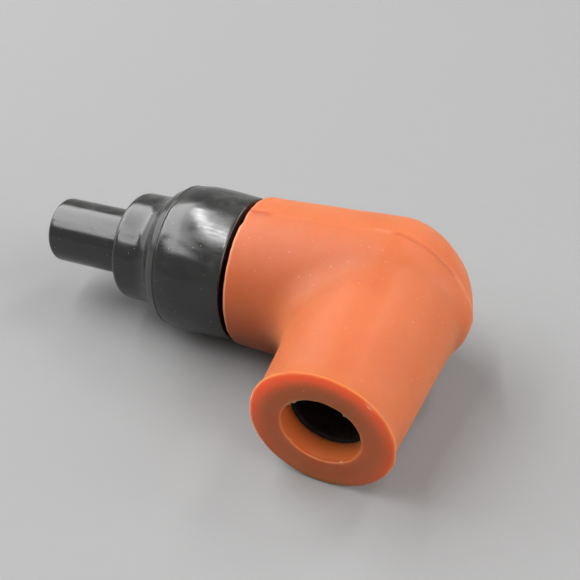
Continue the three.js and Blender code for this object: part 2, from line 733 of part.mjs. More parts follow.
const cap = new THREE.Group();
cap.add(
  named("elbow_housing", elbowHousing()),
  named("cable_boot", cableBoot()),
  named("insulator_core", insulatorCore()),
  named("elbow_contact", elbowContact()),
  named("plug_terminal", plugTerminal()),
  named("terminal_clip", terminalClip()),
  named("contact_spring", contactSpring()),
  named("resistor_rod", resistorRod()),
  named("resistor_front_cap", resistorEndCap(resistorAt, 1)),
  named("resistor_rear_cap", resistorEndCap(resistorEndAt, -1)),
  named("cable_screw", cableScrew()),
);
cap.rotation.set(plugDrop, -cableDrop, 0);

// The surface that the cap lies on is at height 0, under the middle of its outline
const lying = new THREE.Group();
lying.add(cap);
lying.updateMatrixWorld(true);
const extent = new THREE.Box3().setFromObject(lying, true);
const middle = extent.getCenter(new THREE.Vector3());
cap.position.set(-middle.x, -middle.y, -extent.min.z);

export default lying;
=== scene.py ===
"""Right-angled spark plug cap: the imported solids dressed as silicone, rubber, phenolic and metal.

Shapes are worked out in the cap's own axes, in millimetres. The elbow point, where the two arms' middle lines
meet, is the origin. X runs from the cable end towards the elbow, Y from the plug mouth towards the elbow, and
Z is up.
"""

import json
import logging
import math
from collections.abc import Callable
from dataclasses import dataclass, field
from enum import Enum
from typing import Union

import bpy
import numpy as np
from mathutils import Matrix, Vector


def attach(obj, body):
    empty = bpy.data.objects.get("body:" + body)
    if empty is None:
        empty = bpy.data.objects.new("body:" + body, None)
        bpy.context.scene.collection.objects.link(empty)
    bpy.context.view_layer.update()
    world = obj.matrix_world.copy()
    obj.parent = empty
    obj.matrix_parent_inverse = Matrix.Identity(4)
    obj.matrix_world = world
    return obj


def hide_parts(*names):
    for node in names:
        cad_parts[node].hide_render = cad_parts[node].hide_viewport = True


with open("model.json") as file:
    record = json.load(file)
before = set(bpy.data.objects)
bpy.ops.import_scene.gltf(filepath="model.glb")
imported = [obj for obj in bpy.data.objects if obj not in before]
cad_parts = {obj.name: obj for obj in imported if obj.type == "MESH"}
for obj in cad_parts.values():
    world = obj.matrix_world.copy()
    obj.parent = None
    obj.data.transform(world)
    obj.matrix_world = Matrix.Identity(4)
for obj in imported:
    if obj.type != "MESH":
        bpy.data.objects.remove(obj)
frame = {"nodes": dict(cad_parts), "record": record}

Triple = tuple[float, float, float]
Span = tuple[float, float]
Socket = bpy.types.NodeSocket
Level = Callable[[np.ndarray], np.ndarray]

MM = 0.001
UP = np.array([0.0, 0.0, 1.0])
WHITE = (1.0, 1.0, 1.0, 1.0)
PLUG_LENGTH = 27.29
MOUTH_MOUNT_HEIGHT = 7.5
LOG = logging.getLogger("spark_plug_cap")


class Slot(Enum):
    """The record's material slots of the two pieces that the scene makes anew."""

    SILICONE = "orange_silicone"
    RUBBER = "black_rubber"


class Arm(Enum):
    """The two arms of the cap, each with its outward direction and the side that its rings start from."""

    PLUG = ((0.0, -1.0, 0.0), (1.0, 0.0, 0.0))
    CABLE = ((-1.0, 0.0, 0.0), (0.0, 1.0, 0.0))

    @property
    def outward(self) -> np.ndarray:
        """The direction from the elbow point out along the arm."""
        return np.array(self.value[0])

    @property
    def side(self) -> np.ndarray:
        """The level direction across the arm."""
        return np.array(self.value[1])

    def ring(self, distance: float, radius: Union[float, np.ndarray], turns: np.ndarray) -> np.ndarray:
        """A ring of points about this arm's middle line.

        Args:
            distance: how far out along the arm the ring lies.
            radius: its radius at each point, or one radius for all.
            turns: the angle of each point, in radians.

        Returns:
            The points, one row each.
        """
        across = np.cos(turns)[:, None] * self.side + np.sin(turns)[:, None] * UP
        return self.outward * distance + across * np.broadcast_to(radius, turns.shape)[:, None]


class Side(Enum):
    """The part of the parting line that a feature is on."""

    TOP = "top"
    UNDERSIDE = "underside"
    ALL_ROUND = "all round"


class MouthZone(Enum):
    """The mouth's zones of rings: where each starts and ends, counted back from the elbow's last ring."""

    BORE = (33, 24)
    BORE_EDGE = (24, 19)
    FACE = (19, 5)
    RIM = (5, 0)

    @property
    def count(self) -> int:
        """How many rings the zone has."""
        return self.value[0] - self.value[1]

    def rings(self, total: int) -> slice:
        """The zone's rings among all of the elbow's."""
        return slice(total - self.value[0], total - self.value[1])


class Join(Enum):
    """The ways in which a node joins two values."""

    ADD = "ADD"
    MULTIPLY = "MULTIPLY"
    GREATER = "MAXIMUM"


@dataclass(frozen=True)
class CapPlace:
    """Where the cap's own axes lie in the world: a turn and the elbow point, in millimetres."""

    turn: np.ndarray
    elbow: np.ndarray

    @classmethod
    def from_mounts(cls, mounts: list[dict]) -> "CapPlace":
        """Finds the place from the record's two end faces.

        Args:
            mounts: the record's mounts.

        Returns:
            The cap's place.
        """
        ends = {mount["name"]: mount for mount in mounts}
        y_axis = -np.array(ends["plug_mouth_face"]["axis"])
        x_axis = -np.array(ends["cable_end_face"]["axis"])
        z_axis = np.cross(x_axis, y_axis)
        mouth_point = np.array([0.0, -PLUG_LENGTH, MOUTH_MOUNT_HEIGHT])
        turn = np.column_stack([x_axis, y_axis, z_axis / np.linalg.norm(z_axis)])
        elbow = np.array(ends["plug_mouth_face"]["pos_m"]) / MM - turn @ mouth_point
        return cls(turn, elbow)

    def to_world(self, points: np.ndarray) -> np.ndarray:
        """World places, in metres, of points in the cap's axes."""
        return (points @ self.turn.T + self.elbow) * MM

    def direction(self, vector: np.ndarray) -> np.ndarray:
        """A direction in the cap's axes, as a world direction."""
        return self.turn @ vector


def ring_turns(count: int) -> np.ndarray:
    """The angles of a ring's evenly spaced points, in radians."""
    return np.linspace(0.0, 2.0 * math.pi, count, endpoint=False)


def smooth_step(value: np.ndarray, start: float, end: float) -> np.ndarray:
    """Rises smoothly from 0 at start to 1 at end."""
    share = np.clip((value - start) / (end - start), 0.0, 1.0)
    return share * share * (3.0 - 2.0 * share)


def hump(value: np.ndarray, middle: float, half_width: float) -> np.ndarray:
    """A bell curve of height 1 round middle."""
    return np.exp(-(((value - middle) / half_width) ** 2))


def window(value: np.ndarray, start: float, end: float, ease: float) -> np.ndarray:
    """Is 1 between start and end and 0 beyond them, with an eased change of the given length."""
    return smooth_step(value, start - ease, start) * (1.0 - smooth_step(value, end, end + ease))


def top_share(points: np.ndarray) -> np.ndarray:
    """Is 1 over the parting plane's level line, and 0 under it."""
    return smooth_step(points[..., 2], -1.0, 1.0)


def ripple(points: np.ndarray, wavelength: float, seed: int) -> np.ndarray:
    """A soft, repeatable unevenness made of a few plane waves.

    Args:
        points: where to read it.
        wavelength: the mean distance between its hills.
        seed: picks the waves.

    Returns:
        A height between about -1 and 1 at each point.
    """
    dice = np.random.default_rng(seed)
    height = np.zeros(points.shape[:-1])
    for _ in range(6):
        way = dice.normal(size=3)
        way *= 2.0 * math.pi / (wavelength * dice.uniform(0.7, 1.5) * np.linalg.norm(way))
        height += np.sin(points @ way + dice.uniform(0.0, 2.0 * math.pi))
    return height / 3.0


@dataclass(frozen=True)
class Wave:
    """A soft unevenness: its height, the distance between its hills, its waves' seed and its mean level."""

    height: float
    length: float
    seed: int
    level: float = 0.0

    def at(self, points: np.ndarray) -> np.ndarray:
        """The unevenness at each point, in millimetres."""
        return self.height * (self.level + ripple(points, self.length, self.seed))


@dataclass(frozen=True)
class LineFeature:
    """A ridge, groove or stain along part of the parting line, with a bell's outline across it.

    Its amount is a height in millimetres, or a share of colour.
    """

    amount: float
    middle: float
    half_width: float
    start: float
    end: float
    ease: float
    side: Side = Side.TOP

    def at(self, points: np.ndarray) -> np.ndarray:
        """The feature's amount at each point.

        Args:
            points: the points, in the cap's axes.

        Returns:
            The amounts.
        """
        across = hump(points[..., 1], self.middle, self.half_width)
        along = window(points[..., 0], self.start, self.end, self.ease)
        top = top_share(points)
        shares = {Side.TOP: top, Side.UNDERSIDE: 1.0 - top, Side.ALL_ROUND: 1.0}
        return self.amount * across * along * shares[self.side]


@dataclass(frozen=True)
class Nib:
    """A ragged bit on a round edge: how far it stands out, and its middle and half width in degrees."""

    height: float
    middle: float
    half_width: float

    def at(self, turns: np.ndarray) -> np.ndarray:
        """How far the bit stands out at each angle."""
        return self.height * hump(np.degrees(turns), self.middle, self.half_width)


@dataclass
class RingSkin:
    """A mesh of rings, each joined to the next and the last to the first."""

    name: str
    rings: np.ndarray
    marks: dict[str, np.ndarray]

    def build(self, place: CapPlace) -> bpy.types.Object:
        """Makes the mesh object.

        Args:
            place: where the cap lies.

        Returns:
            The object, with its origin at the world's origin.
        """
        count, around = self.rings.shape[:2]
        points = place.to_world(self.rings.reshape(-1, 3))
        index = np.arange(count * around).reshape(count, around)
        after = np.roll(index, -1, axis=0)
        corners = [index, np.roll(index, -1, 1), np.roll(after, -1, 1), after]
        quads = np.stack(corners, axis=-1).reshape(-1, 4)
        if self.volume(points, quads) < 0.0:
            quads = quads[:, ::-1]
        mesh = bpy.data.meshes.new(self.name)
        mesh.from_pydata(points.tolist(), [], quads.tolist())
        mesh.polygons.foreach_set("use_smooth", np.ones(len(quads), dtype=bool))
        for mark, values in self.marks.items():
            layer = mesh.attributes.new(mark, "FLOAT", "POINT")
            layer.data.foreach_set("value", values.reshape(-1).astype(np.float32))
        mesh.update()
        piece = bpy.data.objects.new(self.name, mesh)
        bpy.context.scene.collection.objects.link(piece)
        return piece

    @staticmethod
    def volume(points: np.ndarray, quads: np.ndarray) -> float:
        """Six times the volume that the quads hold.

        Args:
            points: the mesh's points.
            quads: the numbers of each face's four corners.

        Returns:
            The volume, below zero if the faces look inwards.
        """
        corners = points[quads]
        first = np.einsum("ij,ij->i", corners[:, 0], np.cross(corners[:, 1], corners[:, 2]))
        second = np.einsum("ij,ij->i", corners[:, 0], np.cross(corners[:, 2], corners[:, 3]))
        return float(first.sum() + second.sum())


@dataclass(frozen=True)
class Patches:
    """Patches of noise: their size in millimetres, and how many finer layers they have.

    They grow between the low and the high value of the noise, and are longer along each axis by the stretch.
    """

    size: float
    detail: float
    low: float = 0.3
    high: float = 0.7
    stretch: Triple = (1.0, 1.0, 1.0)


@dataclass(frozen=True)
class Grain:
    """Bumps of one size and depth, both in millimetres, with finer layers and a stretch along each axis."""

    size: float
    depth: float
    detail: float = 2.0
    stretch: Triple = (1.0, 1.0, 1.0)


def add_node(
    tree: bpy.types.NodeTree, kind: str, inputs: dict[Union[str, int], object], **settings: str
) -> bpy.types.Node:
    """Adds a shader node, with its settings made first and then its inputs filled in.

    Args:
        tree: the nodes to add to.
        kind: the node's kind, without the start that all shader nodes share.
        inputs: a socket to link or a value to set, by the input's name or number.
        settings: the node's own options.

    Returns:
        The node.
    """
    node = tree.nodes.new(f"ShaderNode{kind}")
    for name, setting in settings.items():
        setattr(node, name, setting)
    for name, source in inputs.items():
        if isinstance(source, Socket):
            tree.links.new(source, node.inputs[name])
        else:
            node.inputs[name].default_value = source
    return node


def joined(tree: bpy.types.NodeTree, way: Join, first: Socket, second: Union[Socket, float]) -> Socket:
    """Joins two values, or a value and a number, in one."""
    return add_node(tree, "Math", {0: first, 1: second}, operation=way.value).outputs[0]


class NodeBench:
    """A material whose nodes are being laid out round one Principled shader."""

    def __init__(self, name: str) -> None:
        """Starts a material with a shader and an output.

        Args:
            name: the material's name.
        """
        self.material = bpy.data.materials.new(name)
        self.material.use_nodes = True
        self.tree = self.material.node_tree
        self.tree.nodes.clear()
        self.shader = add_node(self.tree, "BsdfPrincipled", {})
        self.output = add_node(self.tree, "OutputMaterial", {"Surface": self.shader.outputs[0]})
        self.place = add_node(self.tree, "TexCoord", {}).outputs["Object"]

    def set(self, socket: str, value: Union[float, Triple]) -> None:
        """Sets a plain value on one of the shader's own sockets."""
        self.shader.inputs[socket].default_value = value

    def feed(self, socket: str, source: Socket) -> None:
        """Links a source to one of the shader's sockets."""
        self.tree.links.new(source, self.shader.inputs[socket])

    def noise(self, size: float, detail: float, stretch: Triple = (1.0, 1.0, 1.0)) -> Socket:
        """Noise with features of about one size.

        Args:
            size: the size of its features, in millimetres.
            detail: how many finer layers it has.
            stretch: how much longer its features are along each axis.

        Returns:
            The socket that gives it, from 0 to 1.
        """
        scale = tuple(1.0 / (size * MM * longer) for longer in stretch)
        mapping = add_node(self.tree, "Mapping", {"Scale": scale, "Vector": self.place})
        inputs = {"Scale": 1.0, "Detail": detail, "Vector": mapping.outputs[0]}
        return add_node(self.tree, "TexNoise", inputs).outputs["Fac"]

    def mark(self, name: str) -> Socket:
        """The value of one of the mesh's own marks."""
        return add_node(self.tree, "Attribute", {}, attribute_name=name).outputs["Fac"]

    def band(self, value: Socket, low: float, high: float, result: Span = (0.0, 1.0)) -> Socket:
        """Spreads a value's band from low to high over a new span, and holds it there."""
        inputs = {"Value": value, "From Min": low, "From Max": high, "To Min": result[0], "To Max": result[1]}
        return add_node(self.tree, "MapRange", inputs, interpolation_type="SMOOTHSTEP").outputs["Result"]

    def patches(self, patches: Patches, result: Span = (0.0, 1.0)) -> Socket:
        """Patches of noise, spread over a span from outside them to inside."""
        noise = self.noise(patches.size, patches.detail, patches.stretch)
        return self.band(noise, patches.low, patches.high, result)

    def mix(self, share: Socket, first: Union[Socket, Triple], second: Union[Socket, Triple]) -> Socket:
        """Mixes two colours.

        Args:
            share: how much of the second shows.
            first: the first colour.
            second: the second colour.

        Returns:
            The socket that gives the mixed colour.
        """
        colours = [(*colour, 1.0) if isinstance(colour, tuple) else colour for colour in (first, second)]
        inputs = {"Factor": share, 6: colours[0], 7: colours[1]}
        return add_node(self.tree, "Mix", inputs, data_type="RGBA").outputs[2]

    def emboss(self, *grains: Grain) -> None:
        """Presses grains into the surface, each on top of the one before.

        Args:
            grains: the grains, the lowest first.
        """
        under: dict[Union[str, int], object] = {}
        for grain in grains:
            height = self.noise(grain.size, grain.detail, grain.stretch)
            inputs = {"Strength": 1.0, "Distance": grain.depth * MM, "Height": height, **under}
            under = {"Normal": add_node(self.tree, "Bump", inputs).outputs[0]}
        self.feed("Normal", under["Normal"])


@dataclass(frozen=True)
class SiliconeFinish:
    """Soft orange silicone, slightly see-through, with a matt grain, a few specks, pale flash and painted light
    and shade.
    """

    lit: Triple = (0.595, 0.157, 0.051)
    deep: Triple = (0.560, 0.141, 0.044)
    # Painted shade: darker in the parting line's groove, and a painted shadow in front of the ridge at its torn
    # end.
    painted_shade: Triple = (0.33, 0.05, 0.018)
    # Painted glow: a brighter orange for light coming through the lip's bore and the mouth's face.
    painted_glow: Triple = (0.90, 0.21, 0.055)
    # Pale chalky flash, with painted highlights on rounded edges and ledges.
    chalk_and_highlight: Triple = (0.92, 0.46, 0.30)
    speck: Triple = (0.93, 0.62, 0.45)
    clouds: Patches = Patches(9.0, 2.0, 0.35, 0.65)
    specks: Patches = Patches(0.5, 1.0, 0.74, 0.80)
    speck_cover: float = 0.32
    dull_patches: Patches = Patches(2.5, 3.0)
    roughness: Span = (0.42, 0.50)
    grains: tuple[Grain, Grain] = (Grain(0.16, 0.012), Grain(1.6, 0.02))
    bending: float = 1.42
    gloss: float = 0.36
    light_reach: Triple = (1.0, 0.28, 0.12)
    light_depth: float = 0.0045

    def material(self) -> bpy.types.Material:
        """Lays out the silicone's nodes.

        Returns:
            The material.
        """
        bench = NodeBench("silicone")
        colour = bench.mix(bench.patches(self.clouds), self.lit, self.deep)
        colour = bench.mix(bench.patches(self.specks, (0.0, self.speck_cover)), colour, self.speck)
        # Painted glow, pale flash with painted highlights, and painted shade along the parting line, each by
        # its own mark.
        for mark, shade in (("painted_glow", self.painted_glow), ("chalk_and_highlight", self.chalk_and_highlight), ("painted_shade_mark", self.painted_shade)):
            colour = bench.mix(bench.mark(mark), colour, shade)
        bench.feed("Base Color", colour)
        bench.feed("Roughness", bench.patches(self.dull_patches, self.roughness))
        bench.emboss(*self.grains)
        bench.set("IOR", self.bending)
        bench.set("Specular IOR Level", self.gloss)
        bench.set("Subsurface Weight", 1.0)
        bench.set("Subsurface Radius", self.light_reach)
        bench.set("Subsurface Scale", self.light_depth)
        return bench.material


@dataclass(frozen=True)
class RubberFinish:
    """Black moulded rubber with a soft gloss, dust on what faces up, white flecks and fine scuffs."""

    clean: Triple = (0.0038, 0.0040, 0.0036)
    dusty: Triple = (0.042, 0.043, 0.039)
    fleck: Triple = (0.20, 0.21, 0.19)
    film: Patches = Patches(2.2, 2.0, 0.30, 0.80)
    flecks: Patches = Patches(0.42, 1.0, 0.745, 0.785)
    scuffs: Patches = Patches(0.3, 4.0, stretch=(9.0, 1.0, 1.0))
    roughness: Span = (0.13, 0.20)
    film_roughness: float = 0.12
    grains: tuple[Grain, Grain] = (Grain(0.12, 0.0015), Grain(4.5, 0.012, 1.0))
    bending: float = 1.65

    def material(self) -> bpy.types.Material:
        """Lays out the rubber's nodes.

        Returns:
            The material.
        """
        bench = NodeBench("boot_rubber")
        film = joined(bench.tree, Join.MULTIPLY, bench.patches(self.film), bench.mark("dust"))
        colour = bench.mix(film, self.clean, self.dusty)
        bench.feed("Base Color", bench.mix(bench.patches(self.flecks), colour, self.fleck))
        scuffs = bench.patches(self.scuffs, self.roughness)
        dulling = joined(bench.tree, Join.MULTIPLY, film, self.film_roughness)
        bench.feed("Roughness", joined(bench.tree, Join.ADD, scuffs, dulling))
        bench.emboss(*self.grains)
        bench.set("IOR", self.bending)
        return bench.material


@dataclass(frozen=True)
class HardFinish:
    """A hard finish in two patchy shades, with one grain and a roughness that wanders."""

    name: str
    main: Triple
    other: Triple
    shades: Patches
    dull_patches: Patches
    roughness: Span
    grain: Grain
    metallic: float = 0.0
    gloss: float = 0.5

    def material(self) -> bpy.types.Material:
        """Lays out the finish's nodes.

        Returns:
            The material.
        """
        bench = NodeBench(self.name)
        bench.feed("Base Color", bench.mix(bench.patches(self.shades), self.main, self.other))
        bench.feed("Roughness", bench.patches(self.dull_patches, self.roughness))
        bench.emboss(self.grain)
        bench.set("Metallic", self.metallic)
        bench.set("Specular IOR Level", self.gloss)
        return bench.material


@dataclass(frozen=True)
class PhenolicFinish(HardFinish):
    """Hard black-brown phenolic moulding, fairly smooth, with a cloudy sheen."""

    name: str = "phenolic"
    main: Triple = (0.012, 0.008, 0.007)
    other: Triple = (0.028, 0.019, 0.016)
    shades: Patches = Patches(1.1, 5.0, 0.35, 0.7)
    dull_patches: Patches = Patches(0.8, 3.0)
    roughness: Span = (0.60, 0.72)
    grain: Grain = Grain(0.25, 0.004)
    gloss: float = 0.15


@dataclass(frozen=True)
class MetalFinish(HardFinish):
    """Turned or drawn metal with fine tool marks round one axis and a patchy tarnish."""

    shades: Patches = Patches(1.5, 4.0, 0.45, 0.75)
    dull_patches: Patches = Patches(0.7, 3.0)
    roughness: Span = (0.24, 0.40)
    grain: Grain = Grain(0.06, 0.004, 1.0, (1.0, 30.0, 30.0))
    metallic: float = 1.0


@dataclass(frozen=True)
class CeramicFinish(HardFinish):
    """Off-white unglazed ceramic with a sandy grain."""

    name: str = "resistor_ceramic"
    main: Triple = (0.78, 0.74, 0.65)
    other: Triple = (0.68, 0.61, 0.49)
    shades: Patches = Patches(0.8, 4.0, 0.4, 0.7)
    dull_patches: Patches = Patches(0.3, 2.0)
    roughness: Span = (0.5, 0.65)
    grain: Grain = Grain(0.12, 0.006)


@dataclass
class SiliconeElbow:
    """The silicone elbow: a thick skin over the core, open at the plug mouth and at the cable shoulder."""

    place: CapPlace
    finish: SiliconeFinish
    around: int = 320
    plug_length: float = PLUG_LENGTH
    plug_root: float = 11.57
    plug_draft: float = 2.11
    flare: float = 0.54
    flare_run: float = 2.3
    mouth_edge: float = 0.4
    face_hollows: Wave = Wave(0.035, 4.0, seed=11, level=1.0)
    lip_bore: float = 5.47
    lip_inner: float = 5.63
    lip_depth: float = 3.82
    lip_edge: float = 0.18
    plug_cavity: float = 7.73
    cable_cavity: float = 8.3
    cavity_bevel: float = 0.2
    cable_length: float = 21.64
    cable_draft: float = 0.86
    elbow_radius: float = 12.46
    shoulder_edge: float = 0.55
    heel_reach: float = 12.18
    heel_fullness: float = 1.83
    crotch_fillet: float = 5.2
    fan_pivot: float = 15.06
    search_reach: float = 30.0
    search_steps: int = 36
    probe: float = 0.01
    flare_rings: int = 14
    plug_rings: int = 28
    turn_rings: int = 140
    cable_rings: int = 30
    shoulder_edge_rings: int = 7
    cavity_turn_rings: int = 40
    wall_rings: int = 5
    skin_waves: Wave = Wave(0.035, 9.0, seed=1)
    heel_swell: float = 0.30
    crest_swell: float = 0.10
    relief_fade: Span = (-12.3, -10.0)
    bore_fringe: Wave = Wave(0.03, 1.2, seed=3, level=1.0)
    rim_fringe: Wave = Wave(0.04, 2.0, seed=4)
    shoulder_fringe: Wave = Wave(0.05, 1.6, seed=5)
    shoulder_lip: float = 0.14
    bore_bits: tuple[Nib, ...] = (
        Nib(0.22, 128.0, 3.0),
        Nib(0.18, 137.0, 2.0),
        Nib(0.25, 52.0, 2.5),
        Nib(0.20, 300.0, 2.5),
    )
    rim_bits: tuple[Nib, ...] = (Nib(-0.30, 46.0, 2.2), Nib(-0.12, 118.0, 3.0))
    shoulder_notch: Nib = Nib(-0.35, 102.0, 3.5)
    # The groove over the elbow, flash round the heel and underneath, a low ridge, a knot and a torn end.
    line_relief: tuple[LineFeature, ...] = (
        LineFeature(-0.13, 0.0, 0.25, 1.2, 9.4, 0.8),
        LineFeature(0.13, 0.0, 0.30, 9.8, 13.0, 0.8, Side.ALL_ROUND),
        LineFeature(0.065, 0.0, 0.30, -20.0, 9.8, 0.5, Side.UNDERSIDE),
        LineFeature(0.05, -0.1, 0.30, -17.5, -2.5, 1.0),
        LineFeature(0.10, 0.0, 0.5, -1.8, 0.0, 0.6),
        LineFeature(0.50, -0.2, 0.36, -21.0, -18.3, 0.6),
    )
    groove_step: LineFeature = LineFeature(0.12, 0.0, 3.5, 1.2, 9.4, 0.8)
    # Painted shade along the parting line: in the groove over the elbow, and a painted shadow in front of the
    # torn end's ridge.
    line_painted_shade: tuple[LineFeature, ...] = (
        LineFeature(0.34, 0.0, 0.16, 1.2, 9.6, 0.7),
        LineFeature(0.25, -0.8, 0.25, -20.9, -18.4, 0.5),
    )
    # Pale flash round the heel and at the knot, with a painted highlight on its ledge.
    line_chalk_and_highlight: tuple[LineFeature, ...] = (
        LineFeature(0.22, 0.05, 0.30, 9.6, 12.3, 0.4, Side.ALL_ROUND),
        LineFeature(0.16, -0.1, 0.30, -1.9, 0.2, 0.3),
    )
    # Painted highlights on the shoulder's rounded edge and along the mouth's lower rim, and chalky flash on the
    # bore's ragged bits.
    shoulder_painted_highlight: float = 0.35
    rim_painted_highlight: float = 0.45
    bore_chalk: float = 0.5
    # Painted glow in the lip's bore and on the mouth's rim.
    bore_painted_glow: float = 0.6
    rim_painted_glow: float = 0.3
    turns: np.ndarray = field(init=False, repr=False)

    def __post_init__(self) -> None:
        """Spaces the points of every ring."""
        self.turns = ring_turns(self.around)

    def build(self) -> bpy.types.Object:
        """Makes the elbow, with its parting line and moulding flash, and dresses it.

        Returns:
            The elbow's object.
        """
        skin = self.relieved(self.outer_rings())
        rings = np.concatenate([skin, self.shoulder_rings(), self.cavity_rings(), self.mouth_rings()])
        # Marks for pale flash with painted highlights, painted shade along the parting line, and painted glow
        # where light comes through.
        marks = {
            "chalk_and_highlight": self.chalk_and_highlight_mark(rings, len(skin)),
            "painted_shade_mark": self.line_mark(self.line_painted_shade, rings, len(skin)),
            "painted_glow": self.painted_glow_mark(len(rings)),
        }
        piece = RingSkin("silicone_elbow", rings, marks).build(self.place)
        piece.data.materials.append(self.finish.material())
        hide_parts("elbow_housing")
        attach(piece, "root")
        return piece

    def plug_arm_radius(self, distance: np.ndarray) -> np.ndarray:
        """The plug arm's radius at a distance from the elbow point."""
        into_flare = np.clip((distance - self.plug_length + self.flare_run) / self.flare_run, 0.0, 1.0)
        return self.plug_root - self.plug_draft * distance / self.plug_length + self.flare * into_flare**2

    def cable_arm_level(self, points: np.ndarray) -> tuple[np.ndarray, np.ndarray]:
        """How far points lie outside the cable arm and heel.

        Args:
            points: the points to measure.

        Returns:
            The distances, below zero inside, and the directions outward.
        """
        along, side, height = points[..., 0], points[..., 1], points[..., 2]
        across = np.maximum(np.hypot(side, height), 1e-9)
        fullness = self.heel_fullness
        lengthwise = np.maximum(along, 0.0) / self.heel_reach
        sideways = across / self.elbow_radius
        size = (lengthwise**fullness + sideways**fullness) ** (1.0 / fullness)
        heel = (size - 1.0) * self.elbow_radius
        arm = across - (self.elbow_radius + self.cable_draft * along / self.cable_length)
        lean = lengthwise ** (fullness - 1.0) / self.heel_reach
        spread = sideways ** (fullness - 1.0) / self.elbow_radius
        lean, spread = lean / np.hypot(lean, spread), spread / np.hypot(lean, spread)
        past = along > 0.0
        spokes = [np.where(past, spread, 1.0) * part / across for part in (side, height)]
        outward = np.stack([np.where(past, lean, 0.0), *spokes], axis=-1)
        return np.where(past, heel, arm), outward

    def plug_arm_level(self, points: np.ndarray) -> tuple[np.ndarray, np.ndarray]:
        """How far points lie outside the plug arm and its round end.

        Args:
            points: the points to measure.

        Returns:
            The distances, below zero inside, and the directions outward.
        """
        flat = points * np.array([1.0, 0.0, 1.0])
        back = (points[..., 1] > 0.0)[..., None]
        spoke = np.where(back, points, flat)
        length = np.maximum(np.linalg.norm(spoke, axis=-1), 1e-9)
        radius = self.plug_arm_radius(np.maximum(-points[..., 1], 0.0))
        return length - radius, spoke / length[..., None]

    def skin_level(self, points: np.ndarray) -> np.ndarray:
        """How far points lie outside the elbow's skin, with the two arms blended into each other.

        Args:
            points: the points to measure.

        Returns:
            The distances, below zero inside.
        """
        cable, cable_out = self.cable_arm_level(points)
        plug, plug_out = self.plug_arm_level(points)
        facing = np.clip(np.sum(cable_out * plug_out, axis=-1), -1.0, 1.0)
        width = np.maximum(4.0 * self.crotch_fillet * (1.0 - np.sqrt((1.0 + facing) / 2.0)), 1e-6)
        share = np.maximum(1.0 - np.abs(cable - plug) / width, 0.0)
        return np.minimum(cable, plug) - width * share * share / 4.0

    def cavity_level(self, points: np.ndarray) -> np.ndarray:
        """How far points lie outside the cavity that the core sits in.

        Args:
            points: the points to measure.

        Returns:
            The distances, below zero inside.
        """
        whole = np.linalg.norm(points, axis=-1)
        cable = np.where(points[..., 0] > 0.0, whole, np.hypot(points[..., 1], points[..., 2]))
        plug = np.where(points[..., 1] > 0.0, whole, np.hypot(points[..., 0], points[..., 2]))
        return np.minimum(cable - self.cable_cavity, plug - self.plug_cavity)

    def ring_on(self, level: Level, middle: np.ndarray, outward: np.ndarray) -> np.ndarray:
        """The ring in which a surface meets the upright plane through a middle point.

        Args:
            level: the surface's own distance function.
            middle: a point inside the surface.
            outward: the level direction that the plane holds.

        Returns:
            The ring's points.
        """
        ways = np.cos(self.turns)[:, None] * outward + np.sin(self.turns)[:, None] * UP
        near = np.zeros(self.around)
        far = np.full(self.around, self.search_reach)
        for _ in range(self.search_steps):
            half = (near + far) / 2.0
            inside = level(middle + half[:, None] * ways) < 0.0
            near = np.where(inside, half, near)
            far = np.where(inside, far, half)
        return middle + near[:, None] * ways

    def arm_ring(self, arm: Arm, distance: float) -> np.ndarray:
        """The skin's ring across an arm, at a distance from the elbow point."""
        return self.ring_on(self.skin_level, arm.outward * distance, arm.side)

    def fan_ring(self, level: Level, degrees: float) -> np.ndarray:
        """The ring on an upright plane through the pivot line inside the crotch.

        Args:
            level: the surface's own distance function.
            degrees: the plane's angle, from 0 across the plug arm to 90 across the cable arm.

        Returns:
            The ring's points.
        """
        angle = math.radians(degrees)
        way = np.array([math.cos(angle), math.sin(angle), 0.0])
        stretch = (way[0] ** 4 + way[1] ** 4) ** -0.25
        pivot = np.array([-self.fan_pivot, -self.fan_pivot, 0.0])
        return self.ring_on(level, pivot + self.fan_pivot * stretch * way, way)

    def outer_rings(self) -> np.ndarray:
        """The skin's rings from the mouth's edge round the elbow to the shoulder's edge.

        Returns:
            The rings, in order.
        """
        flare_start = self.plug_length - self.flare_run
        mouth_start = self.plug_length - self.mouth_edge
        shoulder_start = self.cable_length - self.shoulder_edge
        flared = np.linspace(mouth_start, flare_start, self.flare_rings, endpoint=False)
        straight = np.linspace(flare_start, self.fan_pivot, self.plug_rings, endpoint=False)
        turned = np.linspace(0.0, 90.0, self.turn_rings, endpoint=False)
        shoulder = np.linspace(self.fan_pivot, shoulder_start, self.cable_rings)
        rings = [self.arm_ring(Arm.PLUG, distance) for distance in (*flared, *straight)]
        rings += [self.fan_ring(self.skin_level, degrees) for degrees in turned]
        rings += [self.arm_ring(Arm.CABLE, distance) for distance in shoulder]
        return np.array(rings)

    def shoulder_rings(self) -> np.ndarray:
        """The rings from the shoulder's rounded edge over its face to the cavity.

        Returns:
            The rings, in order.
        """
        edge_radius = self.elbow_radius - self.cable_draft - self.shoulder_edge
        rings = []
        for angle in np.radians(np.linspace(10.0, 90.0, self.shoulder_edge_rings)):
            distance = self.cable_length - self.shoulder_edge * (1.0 - math.sin(angle))
            radius = edge_radius + self.shoulder_edge * math.cos(angle)
            frill = self.shoulder_flash(radius) * math.sin(angle)
            rings.append(Arm.CABLE.ring(distance, radius + frill, self.turns))
        face_end = self.cable_cavity + self.cavity_bevel
        for radius in np.linspace(edge_radius - 0.4, face_end, self.wall_rings - 1):
            rings.append(Arm.CABLE.ring(self.cable_length, radius, self.turns))
        rings.append(Arm.CABLE.ring(self.cable_length - self.cavity_bevel, self.cable_cavity, self.turns))
        return np.array(rings)

